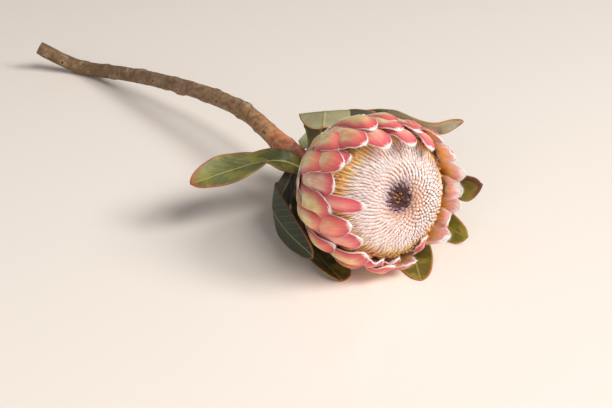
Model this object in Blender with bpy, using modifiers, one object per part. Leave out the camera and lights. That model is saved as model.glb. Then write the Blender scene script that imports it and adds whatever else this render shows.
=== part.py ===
"""A cut protea flower lying on its side, built as the separate pieces it grows with.

The flower head faces -Y and looks up a little, the stem runs back along +Y and bends
towards -X, and +Z is up. Metres throughout, with the floor at z = 0. The head rests on
its widest ring, two leaves lie on the floor and the stem touches down near its cut end.
"""
import math

import bmesh
import bpy
from mathutils import Matrix, Vector

MM = 0.001
TOUCH_GAP = 0.35 * MM
BRACT_THICKNESS = 1.2 * MM
LAYER_STEP = BRACT_THICKNESS + TOUCH_GAP

# The flower head is a goblet turned about its own axis, measured from the neck upwards.
HEAD_TILT = math.radians(16.5)
NECK_RADIUS = 12 * MM
NECK_X = 2 * MM
WIDEST_RADIUS = 50 * MM
WIDEST_AT = 69 * MM
RIM_RADIUS = 48 * MM
RIM_AT = 105 * MM

# Rings of bracts, outermost first, so that the place in the list is the ring's layer.
# start and end are distances from the neck, turn is the azimuth of the first bract
# clockwise from the top, and lean is how far the tips bend in over the florets.
BRACT_RINGS = (
    dict(name="lower_scale", count=9, start=4 * MM, end=54 * MM, turn=8, lean=0),
    dict(name="middle_bract", count=13, start=11 * MM, end=86 * MM, turn=-12, lean=0),
    dict(name="outer_bract", count=13, start=19 * MM, end=102 * MM, turn=2, lean=0),
    dict(name="inner_bract", count=13, start=27 * MM, end=112 * MM, turn=-12, lean=4 * MM),
)
BRACT_FILL = 0.94  # the share of its slot in the ring that a bract covers at its widest
BRACT_TIP = 0.3  # the width of the blunt tip beside the widest part
BRACT_COLUMNS = 4
# every layer bends at these distances from the neck, so that the layers stay parallel
BEND_LEVELS = [level * MM for level in (4, 11, 19, 27, 40, 54, 70, 86, 102, 112)]
LEAN_FROM = 80 * MM

# The florets fill the goblet up to a low dome with a pit in the middle.
RECEPTACLE_TOP = 31 * MM
FLORET_CLEARANCE = 1.2 * MM
FLORET_EDGE = 90 * MM
FLORET_TOP = 106 * MM
FLORET_PIT = dict(depth=8 * MM, radius=11 * MM)
TURN_STEPS = 32

# The stem from the neck to the cut end: centre points and radii, in millimetres.
STEM_ROUTE = (
    ((1, 18, 28.5), 7.4),
    ((-1.5, 36, 32.5), 7.0),
    ((-3, 74, 34), 6.8),
    ((-3, 112, 35), 6.5),
    ((-9, 153, 33.5), 6.4),
    ((-20, 200, 28.5), 6.2),
    ((-36, 261, 19), 6.0),
    ((-52, 310, 9.5), 6.0),
    ((-63, 333, 6.1), 6.0),
    ((-77, 349, 11), 6.0),
    ((-94, 362, 22), 5.8),
)
STEM_PIECES = 3  # straight pieces between two route points
STEM_NECK = dict(length=6 * MM, radius=8.5 * MM)
SIDE_SHOOT = dict(along=11, around=248, radius=5.2, length=9.0)
KNOBS = (
    dict(along=62, around=195, radius=4.2),
    dict(along=118, around=20, radius=4.0),
    dict(along=205, around=200, radius=3.8),
)

# The leaves: along and around place the base on the stem, in millimetres behind the neck
# and degrees clockwise from the top. The route goes on through these points in
# millimetres, roll turns the blade about its midrib at the base and at each point, fold
# is how far the blade's edges rise beside the midrib, in degrees, and widest is the
# share of the length at which the blade is widest.
LEAVES = {
    "left_leaf": dict(
        along=19, around=288, width=30, fold=12, widest=0.65,
        route=((-22, 17, 41), (-38, 22, 42), (-66, 20, 42), (-93, 19, 40)),
        roll=(0, 50, 100, 78, 65),
    ),
    "upper_left_leaf": dict(
        along=14, around=5, width=36, fold=8, widest=0.8,
        route=((5, 14, 51), (8, 16, 64), (7, 10, 76), (-5, -9, 74)),
        roll=(0, 0, 0, 0, 0),
    ),
    "upper_leaf": dict(
        along=26, around=20, width=24, fold=8, widest=0.85,
        route=((14, 30, 48), (25, 27, 58), (36, 11, 66), (37, -12, 77)),
        roll=(0, 0, 0, 0, 0),
    ),
    "upper_right_leaf": dict(
        along=40, around=45, width=28, fold=8, widest=0.6,
        route=((21, 42, 44), (39, 38, 47), (49, 6, 60), (50, -28, 76), (60, -52, 79),
               (80, -53, 75)),
        roll=(0, 0, 0, 0, 0, 40, 10),
    ),
    "right_leaf": dict(
        along=12, around=85, width=30, fold=40, widest=0.7,
        route=((30, 2, 35), (52, -24, 41), (64, -52, 43), (69, -72, 42), (78, -85, 40)),
        roll=(0, 0, 0, 0, 0, 0),
    ),
    "lower_right_leaf": dict(
        along=24, around=115, width=34, fold=10, widest=0.6,
        route=((26, 6, 20), (46, -24, 12), (56, -56, 9), (66, -86, 7)),
        roll=(0, 0, 0, 0, 0),
    ),
    "front_right_leaf": dict(
        along=12, around=145, width=30, fold=6, widest=0.7,
        route=((15, -4, 12), (30, -38, 1), (27, -74, 0), (13, -108, 0)),
        roll=(0, -15, -25, -22, -22),
    ),
    "lower_left_leaf": dict(
        along=30, around=228, width=34, fold=10, widest=0.6,
        route=((-29, 8, 20), (-44, -8, 22), (-49, -38, 20), (-45, -68, 15)),
        roll=(0, 0, -10, -12, -10),
    ),
    "front_left_leaf": dict(
        along=46, around=200, width=24, fold=8, widest=0.85,
        route=((-15, 8, 4), (-28, -24, 0), (-31, -54, 0), (-32, -84, 0)),
        roll=(0, 20, 28, 28, 28),
    ),
}
LEAF_THICKNESS = 1.2 * MM
LEAF_COLUMNS = 4
LEAF_ROWS = 12

# colour, roughness of each material
MATERIALS = {
    "stem_bark": ((0.32, 0.19, 0.11), 0.8),
    "leaf_green": ((0.17, 0.23, 0.10), 0.5),
    "receptacle_green": ((0.42, 0.33, 0.16), 0.7),
    "floret_pink": ((0.86, 0.66, 0.62), 0.9),
    "inner_pink": ((0.80, 0.28, 0.32), 0.55),
    "outer_peach": ((0.86, 0.46, 0.36), 0.55),
    "scale_brown": ((0.62, 0.40, 0.26), 0.65),
}
RING_MATERIALS = {
    "inner_bract": "inner_pink",
    "outer_bract": "outer_peach",
    "middle_bract": "outer_peach",
    "lower_scale": "scale_brown",
}


# ---------------------------------------------------------------- scene and materials
def empty_scene():
    for item in list(bpy.data.objects):
        bpy.data.objects.remove(item, do_unlink=True)


def make_material(name):
    colour, roughness = MATERIALS[name]
    material = bpy.data.materials.new(name)
    material.use_nodes = True
    shader = material.node_tree.nodes["Principled BSDF"]
    shader.inputs["Base Color"].default_value = (*colour, 1)
    shader.inputs["Roughness"].default_value = roughness
    shader.inputs["Metallic"].default_value = 0
    return material


def add_object(name, mesh, material, parent, collection):
    item = bpy.data.objects.new(name, mesh)
    collection.objects.link(item)
    item.parent = parent
    if not mesh.materials:
        mesh.materials.append(material)
    mesh.shade_smooth()
    return item


def add_empty(name, parent, collection):
    empty = bpy.data.objects.new(name, None)
    collection.objects.link(empty)
    empty.parent = parent
    return empty


# ---------------------------------------------------------------- the goblet's outline
def outline_radius(height):
    """The goblet's outer radius: one parabola up to the widest ring, another above it."""
    if height < WIDEST_AT:
        drop = (1 - height / WIDEST_AT) ** 2
        return WIDEST_RADIUS - (WIDEST_RADIUS - NECK_RADIUS) * drop
    rise = (height - WIDEST_AT) / (RIM_AT - WIDEST_AT)
    return WIDEST_RADIUS - (WIDEST_RADIUS - RIM_RADIUS) * rise**2


def layer_point(height, depth):
    """Radius and height of the point that lies this deep under the outline."""
    step = 0.5 * MM
    slope = (outline_radius(height + step) - outline_radius(height - step)) / (2 * step)
    scale = depth / math.hypot(1, slope)
    return outline_radius(height) - scale, height + slope * scale


def ring_levels(ring):
    return [level for level in BEND_LEVELS if ring["start"] <= level <= ring["end"]]


def neck_height():
    """How high the neck lies when the rings of bracts rest on the floor."""
    reach = []
    for layer, ring in enumerate(BRACT_RINGS):
        for level in ring_levels(ring):
            radius, height = layer_point(level, layer * LAYER_STEP)
            reach.append(radius * math.cos(HEAD_TILT) - height * math.sin(HEAD_TILT))
    return max(reach)


# ---------------------------------------------------------------- sheets and turned solids
def bent_sheet(name, columns, rows, place):
    """A grid bent by place(across, up), with across from -1 to 1 and up from 0 to 1."""
    mesh = bpy.data.meshes.new(name)
    grid = bmesh.new()
    bmesh.ops.create_grid(grid, x_segments=columns, y_segments=rows, size=1)
    for vertex in grid.verts:
        across, up = vertex.co.x, (vertex.co.y + 1) / 2
        vertex.co = place(across, up)
    grid.to_mesh(mesh)
    grid.free()
    return mesh


def thicken(item, thickness):
    shell = item.modifiers.new("thickness", "SOLIDIFY")
    shell.thickness = thickness
    shell.offset = 0


def turned_solid(name, profile, material, parent, collection):
    """A solid turned about the head's axis from (radius, height) pairs, top to bottom."""
    mesh = bpy.data.meshes.new(name)
    outline = bmesh.new()
    points = [outline.verts.new((radius, 0, height)) for radius, height in profile]
    for first, second in zip(points, points[1:]):
        outline.edges.new((first, second))
    outline.to_mesh(mesh)
    outline.free()
    item = add_object(name, mesh, material, parent, collection)
    turn = item.modifiers.new("turn", "SCREW")
    turn.steps = turn.render_steps = TURN_STEPS
    turn.use_merge_vertices = True
    turn.merge_threshold = 0.01 * MM
    return item


# ---------------------------------------------------------------- the flower head
def receptacle_profile():
    """The core under the bracts, with a ledge where each ring of bracts is seated."""
    points = [(0, 0), (outline_radius(0), 0)]
    for layer, ring in enumerate(BRACT_RINGS):
        ledge = ring["start"] - TOUCH_GAP
        points.append(layer_point(ledge, layer * LAYER_STEP))
        points.append(layer_point(ledge, (layer + 1) * LAYER_STEP))
    radius, height = layer_point(RECEPTACLE_TOP, len(BRACT_RINGS) * LAYER_STEP)
    points += [(radius, height), (0, height)]
    return points[::-1]


def floret_profile():
    depth = len(BRACT_RINGS) * LAYER_STEP + FLORET_CLEARANCE
    edge, edge_height = layer_point(FLORET_EDGE, depth)
    top = []
    for share in (0, 0.1, 0.2, 0.3, 0.4, 0.55, 0.7, 0.85):
        dome = (FLORET_TOP - edge_height) * (1 - share**2)
        pit = FLORET_PIT["depth"] * math.exp(-((share * edge / FLORET_PIT["radius"]) ** 2))
        top.append((share * edge, edge_height + dome - pit))
    levels = [level for level in BEND_LEVELS if RECEPTACLE_TOP < level < FLORET_EDGE]
    side = [layer_point(level, depth) for level in levels + [FLORET_EDGE]]
    seat, floor = layer_point(RECEPTACLE_TOP, len(BRACT_RINGS) * LAYER_STEP)
    floor += TOUCH_GAP
    return top + side[::-1] + [(seat - FLORET_CLEARANCE, floor), (0, floor)]


def bract_width(up):
    """Width beside the widest part: broad at the base, widest at 60 %, blunt at the tip."""
    if up < 0.6:
        return 0.8 + 0.2 * math.sin(up / 0.6 * math.pi / 2)
    return BRACT_TIP + (1 - BRACT_TIP) * math.cos((up - 0.6) / 0.4 * math.pi / 2) ** 0.8


def bract_mesh(ring, layer):
    depth = layer * LAYER_STEP + BRACT_THICKNESS / 2
    levels = ring_levels(ring)
    rows = len(levels) - 1
    half_slot = math.pi / ring["count"] * BRACT_FILL

    def place(across, up):
        radius, height = layer_point(levels[round(up * rows)], depth)
        lean = max(0, (height - LEAN_FROM) / (ring["end"] - LEAN_FROM))
        radius -= ring["lean"] * lean**2
        angle = half_slot * bract_width(up) * across
        return Vector((radius * math.sin(angle), radius * math.cos(angle), height))

    return bent_sheet(ring["name"], BRACT_COLUMNS, rows, place)


def build_head(frame, collection, materials):
    turned_solid(
        "receptacle", receptacle_profile(), materials["receptacle_green"], frame, collection
    )
    turned_solid(
        "floret_mass", floret_profile(), materials["floret_pink"], frame, collection
    )
    for layer, ring in enumerate(BRACT_RINGS):
        mesh = bract_mesh(ring, layer)
        material = materials[RING_MATERIALS[ring["name"]]]
        for number in range(ring["count"]):
            name = f"{ring['name']}_{number + 1:02d}"
            bract = add_object(name, mesh, material, frame, collection)
            turn = ring["turn"] + 360 / ring["count"] * number
            bract.rotation_euler.z = -math.radians(turn)
            thicken(bract, BRACT_THICKNESS)


# ---------------------------------------------------------------- smooth routes
def smooth_point(points, position):
    """A point on the smooth curve through points, where position counts points."""
    index = min(int(position), len(points) - 2)
    part = position - index
    before = points[max(index - 1, 0)]
    start, end = points[index], points[index + 1]
    after = points[min(index + 2, len(points) - 1)]
    straight = 2 * start + (end - before) * part
    bend = (2 * before - 5 * start + 4 * end - after) * part**2
    return (straight + bend + (3 * start - before - 3 * end + after) * part**3) / 2


class Stem:
    """The stem's smooth centre line and radius, by distance behind the neck."""

    def __init__(self, neck, head_axis):
        points = [neck - head_axis * STEM_NECK["length"]]
        points += [Vector(point) * MM for point, _ in STEM_ROUTE]
        radii = [STEM_NECK["radius"]] + [radius * MM for _, radius in STEM_ROUTE]
        steps = (len(points) - 1) * STEM_PIECES
        self.points = [neck - head_axis * TOUCH_GAP]
        self.radii = [STEM_NECK["radius"]]
        for step in range(steps + 1):
            position = step / STEM_PIECES
            index = min(int(position), len(radii) - 2)
            self.points.append(smooth_point(points, position))
            share = position - index
            self.radii.append(radii[index] * (1 - share) + radii[index + 1] * share)

    def at(self, distance):
        """Centre, radius and direction at a distance along the stem."""
        for start, end, radius in zip(self.points, self.points[1:], self.radii):
            length = (end - start).length
            if distance <= length:
                return start.lerp(end, distance / length), radius, (end - start) / length
            distance -= length
        return self.points[-1], self.radii[-1], (end - start).normalized()

    def surface(self, along, around):
        """A point on the bark and the outward direction there."""
        centre, radius, direction = self.at(along * MM)
        angle = math.radians(around)
        outward = Vector((math.sin(angle), 0, math.cos(angle)))
        outward = (outward - direction * outward.dot(direction)).normalized()
        return centre + outward * radius, outward


# ---------------------------------------------------------------- the stem
def stem_tube(stem, parent, collection, material):
    """The stem as a tapering tube, turned into a mesh so that shoots can be joined."""
    curve = bpy.data.curves.new("stem_curve", "CURVE")
    curve.dimensions = "3D"
    curve.bevel_depth = MM
    curve.bevel_resolution = 3
    curve.use_fill_caps = True
    spline = curve.splines.new("POLY")
    spline.points.add(len(stem.points) - 1)
    for knot, centre, radius in zip(spline.points, stem.points, stem.radii):
        knot.co = (*centre, 1)
        knot.radius = radius / MM
    guide = bpy.data.objects.new("stem_curve", curve)
    collection.objects.link(guide)
    depsgraph = bpy.context.evaluated_depsgraph_get()
    mesh = bpy.data.meshes.new_from_object(guide.evaluated_get(depsgraph))
    bpy.data.objects.remove(guide, do_unlink=True)
    weld = bmesh.new()
    weld.from_mesh(mesh)
    bmesh.ops.remove_doubles(weld, verts=weld.verts, dist=0.01 * MM)
    bmesh.ops.recalc_face_normals(weld, faces=weld.faces)
    weld.to_mesh(mesh)
    weld.free()
    return add_object("stem", mesh, material, parent, collection)


def join_to(item, joined, cutters):
    """Joins another mesh object to item with a Boolean union."""
    cutters.objects.link(joined)
    joined.parent = item.parent
    joined.hide_render = True
    joined.display_type = "WIRE"
    union = item.modifiers.new(joined.name, "BOOLEAN")
    union.operation = "UNION"
    union.object = joined


def side_shoot(stem):
    """The rounded stub of a side shoot, pointing away from the stem."""
    bark, outward = stem.surface(SIDE_SHOOT["along"], SIDE_SHOOT["around"])
    mesh = bpy.data.meshes.new("side_shoot")
    stub = bmesh.new()
    bmesh.ops.create_uvsphere(
        stub, u_segments=10, v_segments=6, radius=SIDE_SHOOT["radius"] * MM
    )
    stretch = SIDE_SHOOT["length"] / SIDE_SHOOT["radius"]
    bmesh.ops.scale(stub, vec=(1, 1, stretch), verts=stub.verts)
    stub.to_mesh(mesh)
    stub.free()
    item = bpy.data.objects.new("side_shoot", mesh)
    item.location = bark + outward * SIDE_SHOOT["radius"] * MM * 0.8
    item.rotation_euler = outward.to_track_quat("Z", "Y").to_euler()
    return item


def knob(stem, number, size):
    """A low swelling where an old leaf grew."""
    bark, outward = stem.surface(size["along"], size["around"])
    mesh = bpy.data.meshes.new(f"knob_{number}")
    ball = bmesh.new()
    bmesh.ops.create_icosphere(ball, subdivisions=2, radius=size["radius"] * MM)
    ball.to_mesh(mesh)
    ball.free()
    item = bpy.data.objects.new(f"knob_{number}", mesh)
    item.location = bark - outward * size["radius"] * MM * 0.45
    return item


def build_stem(stem, parent, collection, cutters, material):
    tube = stem_tube(stem, parent, collection, material)
    join_to(tube, side_shoot(stem), cutters)
    for number, size in enumerate(KNOBS):
        join_to(tube, knob(stem, number + 1, size), cutters)


# ---------------------------------------------------------------- the leaves
def leaf_width(up, widest):
    """Width beside the widest part: a short narrow base and a round tip."""
    if up < widest:
        return 0.3 + 0.7 * math.sin(up / widest * math.pi / 2) ** 1.3
    return max(0.2, math.cos((up - widest) / (1 - widest) * math.pi / 2) ** 0.6)


def leaf_mesh(name, leaf, stem, neck):
    base, outward = stem.surface(leaf["along"], leaf["around"])
    base = base + outward * TOUCH_GAP * 2
    route = [base] + [Vector(point) * MM for point in leaf["route"]]
    spans = len(route) - 1

    def blade_frame(up):
        position = up * spans
        centre = smooth_point(route, position)
        ahead = smooth_point(route, min(position + 0.02, spans))
        behind = smooth_point(route, max(position - 0.02, 0))
        along = (ahead - behind).normalized()
        radial = Vector((centre.x - neck.x, 0, centre.z - neck.z)).normalized()
        radial = outward.lerp(radial, min(position, 1))
        side = Vector((radial.z, 0, -radial.x))
        side = (side - along * side.dot(along)).normalized()
        index = min(int(position), spans - 1)
        share = position - index
        roll = leaf["roll"][index] * (1 - share) + leaf["roll"][index + 1] * share
        side = Matrix.Rotation(math.radians(roll), 3, along) @ side
        return centre, side, side.cross(along)

    def place(across, up):
        centre, side, normal = blade_frame(up)
        half_width = leaf["width"] / 2 * MM * leaf_width(up, leaf["widest"])
        fold = math.radians(leaf["fold"]) * min(up * 4, 1)
        point = centre + side * half_width * across * math.cos(fold)
        point += normal * half_width * abs(across) ** 1.5 * math.sin(fold)
        point.z = max(point.z, LEAF_THICKNESS / 2)
        return point - base

    return base, bent_sheet(name, LEAF_COLUMNS, LEAF_ROWS, place)


def build_leaves(stem, neck, parent, collection, material):
    for name, leaf in LEAVES.items():
        base, mesh = leaf_mesh(name, leaf, stem, neck)
        item = add_object(name, mesh, material, parent, collection)
        item.location = base
        thicken(item, LEAF_THICKNESS)


# ---------------------------------------------------------------- the whole flower
def centre_on_floor(flower, collection):
    """Moves the flower so that its box is centred on the origin and stands on z = 0."""
    bpy.context.view_layer.update()
    depsgraph = bpy.context.evaluated_depsgraph_get()
    corners = []
    for item in collection.objects:
        if item.type == "MESH":
            solid = item.evaluated_get(depsgraph)
            corners += [item.matrix_world @ vertex.co for vertex in solid.data.vertices]
    low = [min(corner[axis] for corner in corners) for axis in range(3)]
    high = [max(corner[axis] for corner in corners) for axis in range(3)]
    flower.location.x -= (low[0] + high[0]) / 2
    flower.location.y -= (low[1] + high[1]) / 2
    flower.location.z -= low[2]
    size = ", ".join(f"{(b - a) / MM:.1f}" for a, b in zip(low, high))
    print(f"flower: {size} mm, lowest point was at {low[2] / MM:.2f} mm")


def main():
    empty_scene()
    collection = bpy.data.collections.new("protea_flower")
    cutters = bpy.data.collections.new("cutters")
    bpy.context.scene.collection.children.link(collection)
    bpy.context.scene.collection.children.link(cutters)
    materials = {name: make_material(name) for name in MATERIALS}

    flower = add_empty("flower", None, collection)
    neck = Vector((NECK_X, 0, neck_height()))
    head_axis = Vector((0, -math.cos(HEAD_TILT), math.sin(HEAD_TILT)))
    frame = add_empty("head_frame", flower, collection)
    frame.location = neck
    frame.rotation_euler.x = math.pi / 2 - HEAD_TILT
    stem = Stem(neck, head_axis)

    build_head(frame, collection, materials)
    build_stem(stem, flower, collection, cutters, materials["stem_bark"])
    build_leaves(stem, neck, flower, collection, materials["leaf_green"])
    centre_on_floor(flower, collection)


main()
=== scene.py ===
# %% [markdown]
# # A cut protea, finished round its CAD model
#
# The CAD model says how big the flower is and where its core, florets, leaves and stem are.
# This script keeps to that and makes each piece look grown: spoon shaped bracts with a
# woolly fringe, over a thousand florets, veined leaves and a scarred woody stem. The bracts
# stay in their rings, but each has a width, tip and lean of its own. Every new piece stands
# for one CAD piece, so the flower still comes apart in the same places.

import math

import bmesh
import bpy
import numpy as np
from mathutils import Matrix, Vector, noise


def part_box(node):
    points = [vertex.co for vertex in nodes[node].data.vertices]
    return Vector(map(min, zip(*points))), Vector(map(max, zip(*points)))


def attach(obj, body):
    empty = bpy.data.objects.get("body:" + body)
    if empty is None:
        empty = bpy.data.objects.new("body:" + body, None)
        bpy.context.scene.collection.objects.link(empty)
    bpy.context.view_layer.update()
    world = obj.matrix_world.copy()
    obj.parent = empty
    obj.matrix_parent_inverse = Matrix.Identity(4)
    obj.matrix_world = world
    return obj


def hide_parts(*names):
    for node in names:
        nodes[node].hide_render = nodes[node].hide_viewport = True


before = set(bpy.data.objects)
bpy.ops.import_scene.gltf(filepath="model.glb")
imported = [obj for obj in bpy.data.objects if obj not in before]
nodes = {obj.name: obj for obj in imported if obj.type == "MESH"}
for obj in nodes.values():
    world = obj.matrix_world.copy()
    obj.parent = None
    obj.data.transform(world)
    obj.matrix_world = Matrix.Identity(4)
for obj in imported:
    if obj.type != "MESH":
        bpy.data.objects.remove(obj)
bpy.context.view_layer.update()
MM = 0.001

# %% [markdown]
# ## The flower head's own frame
#
# Bracts and florets are easiest to shape around the head's own axis. The core and the
# floret mass are both turned solids, so the line through their middles is that axis, and
# the lowest point of the core along it is the neck, where the stem begins.

# %% Find the axis and the neck
def cad_points(node):
    """The separate corner points of a CAD piece, in millimetres."""
    mesh = nodes[node].data
    flat = np.empty(len(mesh.vertices) * 3)
    mesh.vertices.foreach_get("co", flat)
    return np.unique((flat.reshape(-1, 3) / MM).round(3), axis=0)


core = cad_points("receptacle")
core_middle = core.mean(axis=0)
axis = Vector(cad_points("floret_mass").mean(axis=0) - core_middle).normalized()
neck = Vector(core_middle) + axis * float(((core - core_middle) @ np.array(axis)).min())
side = Vector((1, 0, 0))
HEAD = Matrix((side, axis.cross(side), axis)).transposed().to_4x4()
HEAD.translation = neck
TO_HEAD = HEAD.inverted()


def moved(points, matrix):
    """These points, each moved by a matrix."""
    return np.array([matrix @ Vector(point) for point in points])


print("neck", [round(value, 2) for value in neck], "tilt",
      round(math.degrees(math.asin(axis.z)), 2))

# %% Measure every bract of the CAD model
def in_head(node):
    """A CAD piece's points in the head's frame, their radii and heights above the neck."""
    points = moved(cad_points(node), TO_HEAD)
    return points, np.hypot(points[:, 0], points[:, 1]), points[:, 2]


RINGS = ("lower_scale", "middle_bract", "outer_bract", "inner_bract")
LAYER_STEP = 1.55  # from one ring's surface in to the next
RINGS_STRAIGHT_TO = 92  # further up, the inner ring leans in over the florets
RINGS_FITTED_TO = 104  # further up, the fitted radius is kept
bract_places = {}
radii = []
heights = []
for layer, ring in enumerate(RINGS):
    for node in sorted(name for name in nodes if name.startswith(ring)):
        points, radius, height = in_head(node)
        azimuth = math.degrees(math.atan2(points[:, 0].mean(), points[:, 1].mean())) % 360
        bract_places[node] = (azimuth, height.min(), height.max())
        straight = height < RINGS_STRAIGHT_TO
        radii.extend(radius[straight] + layer * LAYER_STEP)
        heights.extend(height[straight])
    print(ring, [round(bract_places[node][0]) for node in bract_places if ring in node])

head_radius = np.poly1d(np.polyfit(heights, radii, 4))


def ring_radius(ring, height):
    """The radius of a ring's layer at this height, the same shape in every layer."""
    return float(head_radius(min(height, RINGS_FITTED_TO))) - RINGS.index(ring) * LAYER_STEP


print("outermost radius by height",
      {height: round(ring_radius("lower_scale", height), 1) for height in (10, 30, 50, 70, 90)})

# %% [markdown]
# ## Two ways to make a grown surface
#
# A bract or a leaf is a thin sheet, so it starts as a flat grid that is bent by a function
# of two numbers: across, from one edge to the other, and up, from the base to the tip. The
# same grid rolled up makes a tube. Each sheet also carries marks, such as the distance to
# its edge, that its material reads later to paint margins, ribs and tips.

# %% Bend a grid
def share_of(value, start, end):
    """How far value has come from start to end, from 0 to 1."""
    return min(max((value - start) / (end - start), 0), 1)


SAME_PLACE = 0.002  # points closer than this become one


def bent_grid(columns, rows, place, marks=()):
    """A grid bent by place(across, up), which gives a point and the marks' values."""
    sheet = bmesh.new()
    bmesh.ops.create_grid(sheet, x_segments=columns, y_segments=rows, size=1)
    layers = [sheet.verts.layers.float.new(mark) for mark in marks]
    for vertex in sheet.verts:
        point, values = place(vertex.co.x, (vertex.co.y + 1) / 2)
        vertex.co = point
        for layer, value in zip(layers, values):
            vertex[layer] = value
    return sheet


def merged(sheet):
    """Merges a grid's seam and the points that meet at its ends."""
    bmesh.ops.remove_doubles(sheet, verts=sheet.verts, dist=SAME_PLACE)
    return sheet


def closed(sheet):
    """Merges a rolled grid and turns its faces outwards."""
    bmesh.ops.recalc_face_normals(merged(sheet), faces=sheet.faces)
    return sheet


def make_object(name, sheet, materials):
    """Turns a bmesh in millimetres into a smooth object in metres."""
    bmesh.ops.scale(sheet, vec=(MM, MM, MM), verts=sheet.verts)
    mesh = bpy.data.meshes.new(name)
    sheet.to_mesh(mesh)
    sheet.free()
    mesh.shade_smooth()
    for material in materials:
        mesh.materials.append(material)
    item = bpy.data.objects.new(name, mesh)
    bpy.context.scene.collection.objects.link(item)
    return item


def walled(item, thickness):
    """Gives a sheet its thickness, with the second material on the far side."""
    shell = item.modifiers.new("thickness", "SOLIDIFY")
    shell.thickness = thickness * MM
    shell.offset = 0
    shell.material_offset = 1
    shell.use_even_offset = False
    applied = bpy.data.meshes.new_from_object(
        item.evaluated_get(bpy.context.evaluated_depsgraph_get())
    )
    item.modifiers.clear()
    plain, item.data = item.data, applied
    bpy.data.meshes.remove(plain)
    applied.name = item.name
    return item


# %% [markdown]
# ## Hairs
#
# A protea's bracts end in a fringe of white wool. Particle hair doesn't survive an export,
# so each hair is a real, very thin three sided spike. One spike is made once, and a small
# helper stamps it onto a piece at hundreds of places.

# %% Stamp a small shape many times
def template_of(sheet):
    """A small shape's points and faces, ready to be stamped."""
    sheet.verts.ensure_lookup_table()
    points = np.array([vertex.co[:] for vertex in sheet.verts])
    faces = [[vertex.index for vertex in face.verts] for face in sheet.faces]
    sheet.free()
    return points, faces


spike = bmesh.new()
bmesh.ops.create_cone(
    spike, cap_ends=True, segments=3, radius1=1, radius2=0, depth=1,
    matrix=Matrix.Translation((0, 0, 0.5)),
)
bmesh.ops.remove_doubles(spike, verts=spike.verts, dist=0.001)
SPIKE_POINTS, SPIKE_FACES = template_of(spike)


def hairs(roots, directions, lengths, radius):
    """Spikes at these roots, one block of points for each."""
    directions = directions / np.linalg.norm(directions, axis=1)[:, None]
    helper = np.where(np.abs(directions[:, 2:]) < 0.9, [[0.0, 0, 1]], [[1.0, 0, 0]])
    first = np.cross(directions, helper)
    first /= np.linalg.norm(first, axis=1)[:, None]
    second = np.cross(directions, first)
    x, y, z = (SPIKE_POINTS[:, axis_number][None, :, None] for axis_number in range(3))
    return (
        roots[:, None] + (first[:, None] * x - second[:, None] * y) * radius
        + directions[:, None] * z * np.asarray(lengths)[:, None, None]
    )


def add_blocks(item, blocks, faces, marks, material_index):
    """Adds stamped copies of one shape to an object, with their marks, in millimetres."""
    mesh = item.data
    grown = bmesh.new()
    grown.from_mesh(mesh)
    layers = {mark: grown.verts.layers.float.get(mark) or grown.verts.layers.float.new(mark)
              for mark in marks}
    for number, block in enumerate(blocks):
        points = [grown.verts.new(point) for point in block * MM]
        for mark, layer in layers.items():
            values = marks[mark][number]
            for point, value in zip(points, np.broadcast_to(values, len(points))):
                point[layer] = value
        for face in faces:
            made = grown.faces.new([points[corner] for corner in face])
            made.material_index = material_index
            made.smooth = True
    grown.to_mesh(mesh)
    grown.free()


print("a hair has", len(SPIKE_FACES), "faces")

# %% [markdown]
# ## Materials from nodes
#
# All colours are mixed in node trees, so nothing depends on an image. A few helpers keep
# the trees short: one adds a node and wires its inputs, and the others give the mixes,
# ramps and noises that every material here is made of. Colours are written the way a
# colour chart gives them and turned into light values.

# %% Node helpers
def paint(chart):
    """A colour chart's hex number as linear red, green, blue and alpha."""
    parts = [int(chart[start:start + 2], 16) / 255 for start in (0, 2, 4)]
    return (*[value / 12.92 if value < 0.04 else ((value + 0.055) / 1.055) ** 2.4
              for value in parts], 1)


def add_node(tree, kind, inputs=(), **settings):
    """Adds a node. An input is a socket to link from, a chart colour or a value."""
    node = tree.nodes.new("ShaderNode" + kind)
    for setting, value in settings.items():
        setattr(node, setting, value)
    for key, value in dict(inputs).items():
        if isinstance(value, bpy.types.NodeSocket):
            tree.links.new(value, node.inputs[key])
        else:
            node.inputs[key].default_value = paint(value) if isinstance(value, str) else value
    return node


def mark_value(tree, mark):
    return add_node(tree, "Attribute", attribute_name=mark).outputs["Fac"]


def calculate(tree, operation, *values):
    return add_node(tree, "Math", enumerate(values), operation=operation).outputs[0]


def between(tree, value, low, high, start=0.0, end=1.0):
    """Moves value smoothly from start to end while it goes from low to high."""
    inputs = {"Value": value, "From Min": low, "From Max": high, "To Min": start, "To Max": end}
    return add_node(
        tree, "MapRange", inputs, interpolation_type="SMOOTHSTEP"
    ).outputs["Result"]


def mixed(tree, share, first, second, blend="MIX"):
    return add_node(
        tree, "Mix", {0: share, 6: first, 7: second}, data_type="RGBA", blend_type=blend
    ).outputs[2]


def coated(tree, skin, *coats):
    """Lays coats over a colour, each a share and the colour that it brings in."""
    for share, colour in coats:
        skin = mixed(tree, share, skin, colour)
    return skin


def ramp(tree, value, stops):
    """A colour ramp through (position, chart colour) stops."""
    node = add_node(tree, "ValToRGB", {"Fac": value})
    elements = node.color_ramp.elements
    while len(elements) < len(stops):
        elements.new(0.5)
    for element, (position, chart) in zip(elements, stops):
        element.position = position
        element.color = paint(chart)
    return node.outputs["Color"]


def grain(tree, scale, detail=3.0, stretch=(1, 1, 1), turn=(0, 0, 0)):
    """Noise in the object's own space, in waves per metre, stretched if asked."""
    place = add_node(tree, "TexCoord").outputs["Object"]
    mapping = add_node(tree, "Mapping", {"Vector": place, "Scale": stretch, "Rotation": turn})
    return add_node(
        tree, "TexNoise",
        {"Vector": mapping.outputs["Vector"], "Scale": scale, "Detail": detail},
    ).outputs["Fac"]


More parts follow.
